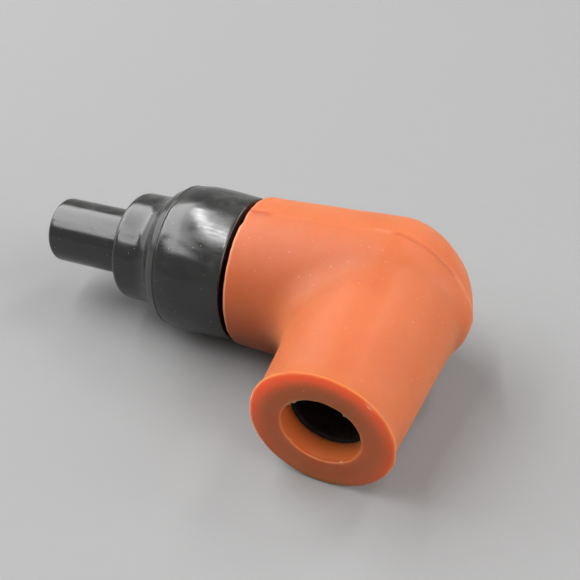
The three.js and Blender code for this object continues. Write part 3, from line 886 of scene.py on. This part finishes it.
    def shoulder_flash(self, radius: float) -> np.ndarray:
        """How far the moulding flash stands out round the shoulder: a torn notch with a narrow lip beside it.

        Args:
            radius: the radius of the edge there.

        Returns:
            The height at each of the ring's points.
        """
        lip = self.shoulder_lip * window(np.degrees(self.turns), 109.0, 128.0, 5.0)
        fringe = self.shoulder_fringe.at(Arm.CABLE.ring(0.0, radius, self.turns))
        return self.shoulder_notch.at(self.turns) + lip + fringe

    def cavity_rings(self) -> np.ndarray:
        """The cavity's rings from the shoulder round the elbow to the mouth's lip.

        Returns:
            The rings, in order.
        """
        lip_start = self.plug_length - self.lip_depth - self.cavity_bevel
        shoulder = np.linspace(self.cable_length - 1.5, self.fan_pivot, self.wall_rings - 1, endpoint=False)
        turned = np.linspace(90.0, 0.0, self.cavity_turn_rings, endpoint=False)
        straight = np.linspace(self.fan_pivot, lip_start, self.wall_rings)
        rings = [Arm.CABLE.ring(distance, self.cable_cavity, self.turns) for distance in shoulder]
        rings += [self.fan_ring(self.cavity_level, degrees) for degrees in turned]
        rings += [Arm.PLUG.ring(distance, self.plug_cavity, self.turns) for distance in straight]
        return np.array(rings)

    def mouth_rings(self) -> np.ndarray:
        """The rings of the lip's inner face, its bore, the mouth's ring face and its rounded outer edge.

        Returns:
            The rings, in order.
        """
        inner_face = self.plug_length - self.lip_depth
        rings = []
        cavity_edge = self.plug_cavity - self.cavity_bevel
        for radius in np.linspace(cavity_edge, self.lip_inner + 0.15, self.wall_rings):
            rings.append(Arm.PLUG.ring(inner_face, radius, self.turns))
        for share in np.linspace(0.04, 0.95, MouthZone.BORE.count):
            radius = self.lip_inner + (self.lip_bore - self.lip_inner) * share
            rings.append(Arm.PLUG.ring(inner_face + self.lip_depth * share, radius, self.turns))
        for angle in np.radians(np.linspace(0.0, 90.0, MouthZone.BORE_EDGE.count)):
            distance = self.plug_length - self.lip_edge * (1.0 - math.sin(angle))
            radius = self.lip_bore + self.lip_edge * (1.0 - math.cos(angle)) - self.bore_nibs()
            rings.append(Arm.PLUG.ring(distance, radius, self.turns))
        face_start = self.lip_bore + self.lip_edge
        face_end = self.plug_root - self.plug_draft + self.flare - self.mouth_edge
        for share in self.face_shares():
            ring = Arm.PLUG.ring(self.plug_length, face_start + (face_end - face_start) * share, self.turns)
            ring[:, 1] += self.face_hollows.at(ring) * math.sin(math.pi * share)
            rings.append(ring)
        for angle in np.radians(np.linspace(75.0, 15.0, MouthZone.RIM.count)):
            distance = self.plug_length - self.mouth_edge * (1.0 - math.sin(angle))
            radius = face_end + self.mouth_edge * math.cos(angle) + self.rim_nibs()
            rings.append(Arm.PLUG.ring(distance, radius, self.turns))
        return np.array(rings)

    @staticmethod
    def face_shares() -> np.ndarray:
        """How far across the mouth's face each of its rings lies, from the bore at 0 to the edge at 1."""
        return np.linspace(0.06, 1.0, MouthZone.FACE.count)

    def bore_nibs(self) -> np.ndarray:
        """How far ragged bits of flash stand into the bore round its edge."""
        fringe = self.bore_fringe.at(Arm.PLUG.ring(0.0, 5.5, self.turns))
        return sum((nib.at(self.turns) for nib in self.bore_bits), fringe)

    def rim_nibs(self) -> np.ndarray:
        """How far ragged bits of flash stand out round the mouth's outer edge."""
        fringe = self.rim_fringe.at(Arm.PLUG.ring(0.0, 10.0, self.turns))
        return sum((nib.at(self.turns) for nib in self.rim_bits), fringe)

    def relieved(self, rings: np.ndarray) -> np.ndarray:
        """Moves the skin out and in for the parting line, its flash and the heel's fuller places.

        Args:
            rings: the smooth skin.

        Returns:
            The skin with its relief, which fades out where the cap lies on the floor.
        """
        steps = np.eye(3) * self.probe
        rises = [self.skin_level(rings + step) - self.skin_level(rings - step) for step in steps]
        slope = np.stack(rises, axis=-1)
        outward = slope / np.linalg.norm(slope, axis=-1, keepdims=True)
        along, side, height = rings[..., 0], rings[..., 1], rings[..., 2]
        relief = self.skin_waves.at(rings) + sum(feature.at(rings) for feature in self.line_relief)
        relief += self.groove_step.at(rings) * smooth_step(side, 0.0, 0.4)
        heel = smooth_step(along, 8.0, 11.0) * window(height, -3.5, 1.5, 2.5)
        crest = hump(along, -2.5, 3.0) * hump(side, 1.2, 3.0) * top_share(rings)
        relief += self.heel_swell * hump(side, -1.0, 1.8) * heel + self.crest_swell * crest
        relief *= smooth_step(height, *self.relief_fade)
        return rings + outward * relief[..., None]

    def line_mark(self, features: tuple[LineFeature, ...], rings: np.ndarray, skin: int) -> np.ndarray:
        """A mark that follows the parting line over the outer skin alone.

        Args:
            features: what the mark is made of.
            rings: all the elbow's rings.
            skin: how many of them, from the first, are the outer skin.

        Returns:
            The mark at each point, from 0 to 1.
        """
        mark = np.zeros(rings.shape[:2])
        mark[:skin] = np.clip(sum(feature.at(rings[:skin]) for feature in features), 0.0, 1.0)
        return mark

    def chalk_and_highlight_mark(self, rings: np.ndarray, skin: int) -> np.ndarray:
        """Where the skin is paler: chalky flash on parts of the parting line and on the bore's ragged bits,
        with painted highlights on the line's ledges, round the shoulder's edge and along the mouth's lower rim.

        Args:
            rings: all the elbow's rings.
            skin: how many of them, from the first, are the outer skin.

        Returns:
            The pale share, chalk and painted highlight, at each point, from 0 to 1.
        """
        chalk_and_highlight = self.line_mark(self.line_chalk_and_highlight, rings, skin)
        # Painted highlights round the shoulder's edge and along the mouth's lower rim, and chalky flash on the
        # bore's ragged bits.
        lower = window(np.degrees(self.turns), 170.0, 285.0, 20.0)
        ragged = np.clip(self.bore_nibs() / 0.2, 0.0, 1.0)
        chalk_and_highlight[skin : skin + self.shoulder_edge_rings - 2] = self.shoulder_painted_highlight
        chalk_and_highlight[MouthZone.RIM.rings(len(rings))] = self.rim_painted_highlight * lower
        chalk_and_highlight[MouthZone.BORE_EDGE.rings(len(rings))] = self.bore_chalk * ragged
        return chalk_and_highlight

    def painted_glow_mark(self, count: int) -> np.ndarray:
        """Painted glow for where light comes through: the lip's bore and the outer zone of the mouth's face,
        most at its top.

        Args:
            count: how many rings the elbow has.

        Returns:
            The share of the painted glow colour at each point.
        """
        # The painted glow is strongest at the top of each ring.
        upper = 0.15 + 0.85 * smooth_step(np.sin(self.turns), -0.2, 0.9)
        painted_glow = np.zeros((count, self.around))
        painted_glow[MouthZone.BORE.rings(count)] = self.bore_painted_glow
        painted_glow[MouthZone.BORE_EDGE.rings(count)] = self.bore_painted_glow
        painted_glow[MouthZone.FACE.rings(count)] = smooth_step(self.face_shares(), 0.35, 0.95)[:, None] * upper
        painted_glow[MouthZone.RIM.rings(count)] = self.rim_painted_glow * upper
        return painted_glow


@dataclass(frozen=True)
class Corner:
    """A corner of a turned outline: its radius, its distance along the arm, and how widely it is rounded."""

    radius: float
    distance: float
    ease: float = 0.0

    def point(self) -> np.ndarray:
        """The corner as a point in the outline's plane."""
        return np.array([self.distance, self.radius])


def eased_outline(corners: list[Corner], steps: int, spacing: float) -> np.ndarray:
    """A closed outline with each corner rounded, and its straight runs cut to a spacing.

    Args:
        corners: the outline's corners, in order.
        steps: how many pieces a rounded corner has.
        spacing: the longest piece on a straight run.

    Returns:
        The outline's points, as distance and radius.
    """
    turned: list[np.ndarray] = []
    for index, corner in enumerate(corners):
        here = corner.point()
        back = corners[index - 1].point() - here
        ahead = corners[(index + 1) % len(corners)].point() - here
        reach = min(corner.ease, min(np.linalg.norm(back), np.linalg.norm(ahead)) * 0.49)
        if reach <= 0.0:
            turned.append(here)
            continue
        start = here + back / np.linalg.norm(back) * reach
        end = here + ahead / np.linalg.norm(ahead) * reach
        for share in np.linspace(0.0, 1.0, steps):
            turned.append((1 - share) ** 2 * start + 2 * share * (1 - share) * here + share**2 * end)
    points: list[np.ndarray] = []
    for index, here in enumerate(turned):
        ahead = turned[(index + 1) % len(turned)]
        pieces = max(1, math.ceil(np.linalg.norm(ahead - here) / spacing))
        points.extend(here + (ahead - here) * piece / pieces for piece in range(pieces))
    return np.array(points)


@dataclass
class CableBoot:
    """The black rubber boot: a cup over the core's collar, a step over its snout and a tube round the cable."""

    place: CapPlace
    finish: RubberFinish
    around: int = 288
    mouth_at: float = 22.46
    cup_bore: float = 9.7
    cup_bore_end: float = 30.74
    rim_radius: float = 11.24
    cup_radius: float = 11.62
    widest_share: float = 0.66
    break_at: float = 33.64
    break_radius: float = 11.26
    # The bead at the break line: how far out and along each corner lies from it, and how it is rounded.
    break_bead: tuple[Triple, ...] = (
        (0.01, -0.28, 0.1),
        (0.11, -0.12, 0.12),
        (0.07, 0.08, 0.12),
        (-0.10, 0.16, 0.12),
        (-0.80, 1.53, 0.7),
    )
    waist_at: float = 36.42
    waist_radius: float = 9.21
    step_at: float = 37.92
    step_radius: float = 8.74
    step_end: float = 42.54
    snout_bore: float = 7.0
    snout_bore_end: float = 40.04
    tube_radius: float = 5.28
    tube_end: float = 56.78
    cable_bore: float = 3.3
    corner_steps: int = 7
    spacing: float = 0.5
    dents: Wave = Wave(0.05, 9.0, seed=7, level=1.0)
    dust_all_over: float = 0.04
    dust_on_top: float = 0.40
    dust_behind: float = 0.5
    dust_at_rim: float = 0.3
    dust_at_break: float = 0.25

    def build(self) -> bpy.types.Object:
        """Makes the boot with its slight unevenness and dresses it.

        Returns:
            The boot's object.
        """
        turns = ring_turns(self.around)
        outline = eased_outline(self.corners(), self.corner_steps, self.spacing)
        rings = self.uneven(np.array([Arm.CABLE.ring(distance, radius, turns) for distance, radius in outline]))
        piece = RingSkin("rubber_boot", rings, {"dust": self.dust(rings)}).build(self.place)
        piece.data.materials.append(self.finish.material())
        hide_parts("cable_boot")
        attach(piece, "root")
        return piece

    def corners(self) -> list[Corner]:
        """The boot's outline, from the cup's rim over the outside and back through the bores.

        Returns:
            The outline's corners.
        """
        bead = [
            Corner(self.break_radius + out, self.break_at + along, ease) for out, along, ease in self.break_bead
        ]
        return [
            Corner(self.cup_bore + 0.25, self.mouth_at, 0.15),
            Corner(self.rim_radius, self.mouth_at, 0.42),
            *self.cup_bulge(),
            *bead,
            Corner(self.waist_radius, self.waist_at, 0.45),
            Corner(self.step_radius, self.step_at, 0.6),
            Corner(self.step_radius, self.step_end, 0.95),
            Corner(self.tube_radius, self.step_end, 0.6),
            Corner(self.tube_radius, self.tube_end, 0.62),
            Corner(self.cable_bore, self.tube_end, 0.3),
            Corner(self.cable_bore, self.snout_bore_end, 0.2),
            Corner(self.snout_bore, self.snout_bore_end, 0.1),
            Corner(self.snout_bore, self.cup_bore_end, 0.2),
            Corner(self.cup_bore, self.cup_bore_end, 0.1),
        ]

    def cup_bulge(self) -> list[Corner]:
        """The cup's barrel-shaped side, widest two thirds of the way from its rim to the break line.

        Returns:
            The side's corners, from the rim to the break line.
        """
        widest_at = self.mouth_at + (self.break_at - self.mouth_at) * self.widest_share
        halves = (
            (self.mouth_at, self.rim_radius, np.linspace(0.92, 0.0, 14)),
            (self.break_at, self.break_radius, np.linspace(0.08, 0.88, 10)),
        )
        corners = []
        for end_at, end_radius, shares in halves:
            for share in shares:
                radius = self.cup_radius - (self.cup_radius - end_radius) * share**2
                corners.append(Corner(radius, widest_at + (end_at - widest_at) * share))
        return corners

    def uneven(self, rings: np.ndarray) -> np.ndarray:
        """The boot's rings with the soft dents of a moulding pulled warm from its tool.

        Args:
            rings: the smooth boot.

        Returns:
            The rings, with only the outside dented.
        """
        spoke = rings * np.array([0.0, 1.0, 1.0])
        radius = np.linalg.norm(spoke, axis=-1, keepdims=True)
        outside = smooth_step(radius, self.snout_bore + 0.5, self.step_radius)
        return rings - spoke / radius * outside * self.dents.at(rings)[..., None]

    def dust(self, rings: np.ndarray) -> np.ndarray:
        """How much dust lies on the boot: most on what faces up, near the rim and at the break line.

        Args:
            rings: the boot's rings.

        Returns:
            The dust at each point.
        """
        along, side, height = -rings[..., 0], rings[..., 1], rings[..., 2]
        up = smooth_step(height / np.hypot(side, height), 0.1, 1.0)
        behind = smooth_step(side, -2.0, 2.0)
        near_rim = hump(along, self.mouth_at, 2.5)
        near_break = hump(along, self.break_at + 1.5, 1.6)
        on_top = self.dust_on_top + self.dust_behind * behind + self.dust_at_rim * near_rim
        return self.dust_all_over + on_top * up + self.dust_at_break * near_break


@dataclass(frozen=True)
class CorePieces:
    """The pieces inside the skin and boot, which keep the solids' own shapes, each with its finish."""

    finishes: tuple[tuple[str, HardFinish], ...] = (
        ("insulator_core", PhenolicFinish()),
        ("elbow_contact", MetalFinish("contact_brass", (0.83, 0.62, 0.30), (0.55, 0.36, 0.15))),
        (
            "plug_terminal",
            MetalFinish("terminal_brass", (0.85, 0.64, 0.31), (0.5, 0.32, 0.13), roughness=(0.22, 0.38)),
        ),
        (
            "terminal_clip",
            MetalFinish("clip_steel", (0.62, 0.62, 0.61), (0.4, 0.38, 0.35), roughness=(0.2, 0.34)),
        ),
        (
            "contact_spring",
            MetalFinish("spring_wire", (0.6, 0.6, 0.6), (0.4, 0.39, 0.37), roughness=(0.22, 0.36)),
        ),
        ("resistor_rod", CeramicFinish()),
        ("resistor_front_cap", MetalFinish("front_cap_plate", (0.72, 0.71, 0.68), (0.5, 0.48, 0.44))),
        ("resistor_rear_cap", MetalFinish("rear_cap_plate", (0.72, 0.71, 0.68), (0.5, 0.48, 0.44))),
        (
            "cable_screw",
            MetalFinish("screw_plate", (0.7, 0.69, 0.66), (0.46, 0.43, 0.38), roughness=(0.26, 0.42)),
        ),
    )

    def dress(self, nodes: dict[str, bpy.types.Object]) -> None:
        """Gives each inner piece its own finish.

        Args:
            nodes: the solids' objects, by their names.
        """
        for name, finish in self.finishes:
            piece = nodes[name]
            material = finish.material()
            if not piece.material_slots:
                piece.data.materials.append(material)
            for material_slot in piece.material_slots:
                material_slot.material = material
            LOG.info("%s dressed with %s", name, material.name)


@dataclass(frozen=True)
class Softbox:
    """A flat soft lamp above the cap, facing down or leaning.

    Its place is per metre of height, its size in metres, and its glow what a white card under it would show.
    """

    name: str
    across: float
    along: float
    width: float
    length: float
    glow: float
    height: float = 1.0
    lean: float = 0.0
    turn: float = 0.0

    def hang(self, aim: np.ndarray) -> None:
        """Hangs the lamp where the aimed-at point sees it in its direction.

        Args:
            aim: the point, in the world.
        """
        lamp = bpy.data.lights.new(self.name, "AREA")
        lamp.shape = "RECTANGLE"
        lamp.size = self.width
        lamp.size_y = self.length
        lamp.energy = math.pi * self.glow * self.width * self.length
        holder = bpy.data.objects.new(self.name, lamp)
        holder.location = Vector(aim) + Vector((self.across, self.along, 1.0)) * self.height
        holder.rotation_euler = (0.0, math.radians(self.lean), math.radians(self.turn))
        bpy.context.scene.collection.objects.link(holder)


@dataclass
class Studio:
    """The floor, the soft lamps, the dim surroundings and the camera."""

    place: CapPlace
    floor_reach: float = 3.0
    floor_roughness: float = 0.9
    floor_gloss: float = 0.1
    pale: float = 0.32
    mottle: float = 0.015
    fade_start: float = 0.15
    fade_end: float = 1.1
    far_glow: float = 0.46
    dim: float = 0.08
    surroundings: float = 0.08
    lamp_aim: Triple = (-20.0, 0.0, 6.0)
    # Each with its place across and along, its width and length, and its glow.
    softboxes: tuple[Softbox, ...] = (
        Softbox("near_strip", -0.45, 0.18, 0.06, 0.72, 24.0, turn=16.5),
        Softbox("foot_strip", -0.300, -0.38, 0.06, 0.44, 25.0, turn=14.0),
        Softbox("dim_strip", -0.58, -0.15, 0.14, 1.50, 2.6),
        Softbox("far_strip", -0.800, 0.065, 0.30, 1.57, 5.0),
        Softbox("corner_box", -0.97, -1.07, 0.48, 0.70, 4.8),
        Softbox("edge_strip", -1.300, 0.15, 0.70, 1.40, 4.6),
        Softbox("back_box", 0.37, 0.74, 0.24, 0.52, 10.5),
        Softbox("front_box", 0.45, -0.85, 1.10, 0.90, 1.0),
        Softbox("right_panel", 2.00, 0.00, 1.10, 1.60, 4.0, height=0.65, lean=63.0),
        Softbox("left_panel", -2.60, 0.20, 1.00, 1.60, 1.5, height=0.6, lean=-70.0),
    )
    camera_at: Triple = (32.422, -98.227, 87.907)
    heading: float = -26.26
    dip: float = -39.49
    roll: float = -4.68
    focal_pixels: float = 918.66
    frame_pixels: float = 580.0
    sensor: float = 36.0
    nearest: float = 0.005

    def build(self) -> None:
        """Sets up everything round the cap."""
        self.floor()
        self.lamps()
        self.world()
        self.camera()
        bpy.context.scene.view_settings.view_transform = "Standard"

    def floor(self) -> None:
        """Lays a wide pale floor under the cap. It lights the cap's underside less than it shows."""
        reach = self.floor_reach
        mesh = bpy.data.meshes.new("floor")
        corners = [(-reach, -reach, 0.0), (reach, -reach, 0.0), (reach, reach, 0.0), (-reach, reach, 0.0)]
        mesh.from_pydata(corners, [], [(0, 1, 2, 3)])
        floor = bpy.data.objects.new("floor", mesh)
        bpy.context.scene.collection.objects.link(floor)
        bench = NodeBench("floor_paper")
        seen = self.seen_rays(bench.tree)
        shades = [(self.pale * (1.0 + change),) * 3 for change in (-self.mottle, self.mottle)]
        paper = bench.mix(bench.noise(2.5, 4.0), *shades)
        bench.feed("Base Color", bench.mix(seen, (self.dim,) * 3, paper))
        bench.set("Roughness", self.floor_roughness)
        bench.set("Specular IOR Level", self.floor_gloss)
        self.fade(bench, seen)
        mesh.materials.append(bench.material)

    def fade(self, bench: NodeBench, seen: Socket) -> None:
        """Turns the far floor into the shade of the surroundings, so that it shows no horizon.

        Args:
            bench: the floor's material.
            seen: 1 for the rays that show the surroundings.
        """
        distance = add_node(bench.tree, "VectorMath", {0: bench.place}, operation="LENGTH")
        far = bench.band(distance.outputs["Value"], self.fade_start, self.fade_end)
        glow = add_node(bench.tree, "Emission", {"Color": WHITE, "Strength": self.far_glow})
        share = joined(bench.tree, Join.MULTIPLY, far, seen)
        blend = add_node(bench.tree, "MixShader", {0: share, 1: bench.shader.outputs[0], 2: glow.outputs[0]})
        bench.tree.links.new(blend.outputs[0], bench.output.inputs["Surface"])

    @staticmethod
    def seen_rays(tree: bpy.types.NodeTree) -> Socket:
        """Picks the rays that show the surroundings: the camera's, mirrored ones and those through glass.

        Args:
            tree: the nodes to add to.

        Returns:
            The socket that gives 1 for such a ray and 0 for others.
        """
        rays = add_node(tree, "LightPath", {}).outputs
        shown = joined(tree, Join.GREATER, rays["Is Camera Ray"], rays["Is Glossy Ray"])
        return joined(tree, Join.GREATER, shown, rays["Is Transmission Ray"])

    def lamps(self) -> None:
        """Hangs the soft lamps that the boot's highlights show."""
        aim = self.place.to_world(np.array(self.lamp_aim))
        for box in self.softboxes:
            box.hang(aim)

    def world(self) -> None:
        """Gives the surroundings a dim even light, and shows them as pale as the floor."""
        world = bpy.data.worlds.new("surroundings")
        world.use_nodes = True
        tree = world.node_tree
        background = tree.nodes["Background"]
        inputs = {"Value": self.seen_rays(tree), "To Min": self.surroundings, "To Max": self.far_glow}
        level = add_node(tree, "MapRange", inputs)
        tree.links.new(level.outputs["Result"], background.inputs["Strength"])
        background.inputs["Color"].default_value = WHITE
        bpy.context.scene.world = world

    def camera(self) -> None:
        """Sets the camera where the photograph was taken from."""
        heading, dip, roll = (math.radians(angle) for angle in (self.heading, self.dip, self.roll))
        flat = np.array([math.sin(heading), math.cos(heading), 0.0])
        forward = flat * math.cos(dip) + UP * math.sin(dip)
        level = np.array([math.cos(heading), -math.sin(heading), 0.0])
        upward = np.cross(level, forward)
        right = level * math.cos(roll) + upward * math.sin(roll)
        top = -level * math.sin(roll) + upward * math.cos(roll)
        columns = [self.place.direction(way) for way in (right, top, -forward)]
        camera = bpy.data.cameras.new("camera")
        camera.sensor_width = self.sensor
        camera.lens = self.focal_pixels / self.frame_pixels * self.sensor
        camera.clip_start = self.nearest
        holder = bpy.data.objects.new("camera", camera)
        matrix = Matrix(np.column_stack(columns).tolist()).to_4x4()
        matrix.translation = Vector(self.place.to_world(np.array(self.camera_at)))
        holder.matrix_world = matrix
        bpy.context.scene.collection.objects.link(holder)
        bpy.context.scene.camera = holder


def main() -> None:
    """Builds the studio and the cap, piece by piece."""
    logging.basicConfig(level=logging.INFO, format="%(message)s")
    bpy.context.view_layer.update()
    place = CapPlace.from_mounts(frame["record"]["mounts"])
    Studio(place).build()
    for maker in (SiliconeElbow(place, SiliconeFinish()), CableBoot(place, RubberFinish())):
        piece = maker.build()
        LOG.info("%s built with %d faces", piece.name, len(piece.data.polygons))
    CorePieces().dress(frame["nodes"])
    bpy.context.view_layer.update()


if __name__ == "__main__":
    main()
